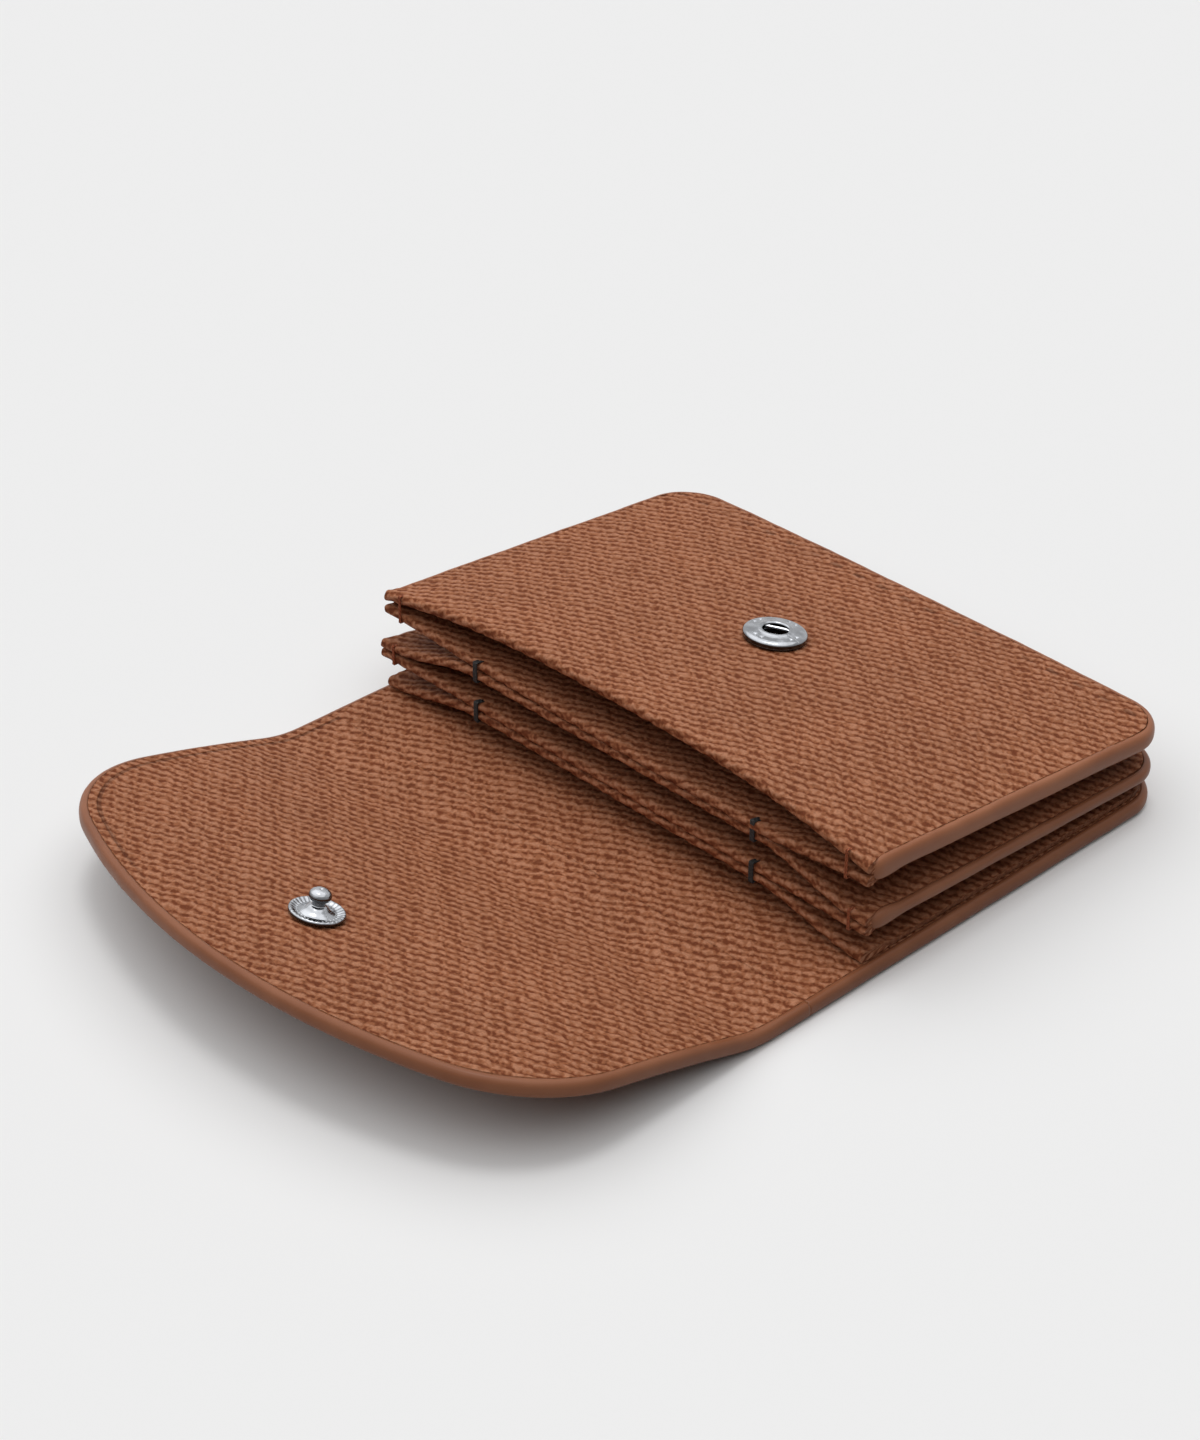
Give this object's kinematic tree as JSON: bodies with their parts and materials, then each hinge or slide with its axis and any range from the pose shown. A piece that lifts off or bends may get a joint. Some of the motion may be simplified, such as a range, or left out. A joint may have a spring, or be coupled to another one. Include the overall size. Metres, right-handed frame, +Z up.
{
  "type": "card wallet",
  "caption": "Leather card wallet lying open, with a snap flap on a folding spine and slim card pouches fanned out like an accordion.",
  "frame": {"origin": "on the surface that the wallet lies on, under the middle of its back panel", "axes": "+Z up from the surface, +Y from the pouch mouths towards the wallet's bottom, X across the wallet; the open flap lies towards -Y"},
  "size_m": [0.104, 0.143, 0.0239],
  "materials": {
    "leather": "matt brown leather with an embossed weave",
    "leather_inside": "matt brown leather with an embossed weave, in the pouches",
    "painted_edge": "satin edge paint",
    "stiffener": "bonded leather board, hidden",
    "snap_metal": "polished dark nickel plating",
    "bar_tack_thread": "black bonded thread",
    "corner_tack_thread": "orange-brown bonded thread"
  },
  "bodies": {
    "back": {"back_outer": "leather", "back_board": "stiffener", "back_lining": "leather_inside", "back_edge": "painted_edge", "leaf_4_left_gusset": "leather_inside", "leaf_4_right_gusset": "leather_inside"},
    "spine": {"spine_outer": "leather", "spine_board": "stiffener", "spine_lining": "leather", "spine_left_edge": "painted_edge", "spine_right_edge": "painted_edge"},
    "flap": {"flap_outer": "leather", "flap_board": "stiffener", "flap_lining": "leather", "flap_edge": "painted_edge", "snap_stud": "snap_metal", "stud_post": "snap_metal"},
    "lower_divider": {"leaf_3_divider": "leather_inside", "leaf_4_divider": "leather_inside", "lower_bar_tack_left": "bar_tack_thread", "lower_bar_tack_right": "bar_tack_thread"},
    "middle_pouch": {"middle_edge": "painted_edge", "leaf_2_left_gusset": "leather_inside", "leaf_2_right_gusset": "leather_inside", "leaf_3_left_gusset": "leather_inside", "leaf_3_right_gusset": "leather_inside", "middle_corner_tack_left": "corner_tack_thread", "middle_corner_tack_right": "corner_tack_thread"},
    "upper_divider": {"leaf_1_divider": "leather_inside", "leaf_2_divider": "leather_inside", "upper_bar_tack_left": "bar_tack_thread", "upper_bar_tack_right": "bar_tack_thread"},
    "front_pouch": {"front_outer": "leather", "front_lining": "leather_inside", "front_edge": "painted_edge", "leaf_1_left_gusset": "leather_inside", "leaf_1_right_gusset": "leather_inside", "snap_socket": "snap_metal", "socket_spring": "snap_metal", "socket_eyelet": "snap_metal", "front_corner_tack_left": "corner_tack_thread", "front_corner_tack_right": "corner_tack_thread"}
  },
  "joints": [
    {"name": "spine_fold", "type": "hinge", "parent": "back", "child": "spine", "pos_m": [0, -0.0356, 0.0028], "axis": [-1, 0, 0], "range_deg": [0, 90]},
    {"name": "flap_fold", "type": "hinge", "parent": "spine", "child": "flap", "pos_m": [0, -0.0552, 0.00308], "axis": [-1, 0, 0], "range_deg": [0, 78.46]},
    {"name": "lower_divider_press", "type": "hinge", "parent": "back", "child": "lower_divider", "pos_m": [0, 0.0332, 0.012], "axis": [1, 0, 0], "range_deg": [0, 2.22], "deforming": ["leaf_4_left_gusset", "leaf_4_right_gusset"]},
    {"name": "middle_pouch_press", "type": "hinge", "parent": "lower_divider", "child": "middle_pouch", "pos_m": [0, 0.0332, 0.012], "axis": [1, 0, 0], "range_deg": [0, 0.2], "deforming": ["leaf_3_left_gusset", "leaf_3_right_gusset"]},
    {"name": "upper_divider_press", "type": "hinge", "parent": "middle_pouch", "child": "upper_divider", "pos_m": [0, 0.0332, 0.014], "axis": [1, 0, 0], "range_deg": [0, 2.42], "deforming": ["leaf_2_left_gusset", "leaf_2_right_gusset"]},
    {"name": "front_pouch_press", "type": "hinge", "parent": "upper_divider", "child": "front_pouch", "pos_m": [0, 0.0332, 0.014], "axis": [1, 0, 0], "range_deg": [0, 0.36], "deforming": ["leaf_1_left_gusset", "leaf_1_right_gusset"]}
  ],
  "couplings": [
    {"joint": "lower_divider_press", "follows": "spine_fold", "ratio": 0.024667},
    {"joint": "middle_pouch_press", "follows": "spine_fold", "ratio": 0.002222},
    {"joint": "upper_divider_press", "follows": "spine_fold", "ratio": 0.026889},
    {"joint": "front_pouch_press", "follows": "spine_fold", "ratio": 0.004}
  ]
}
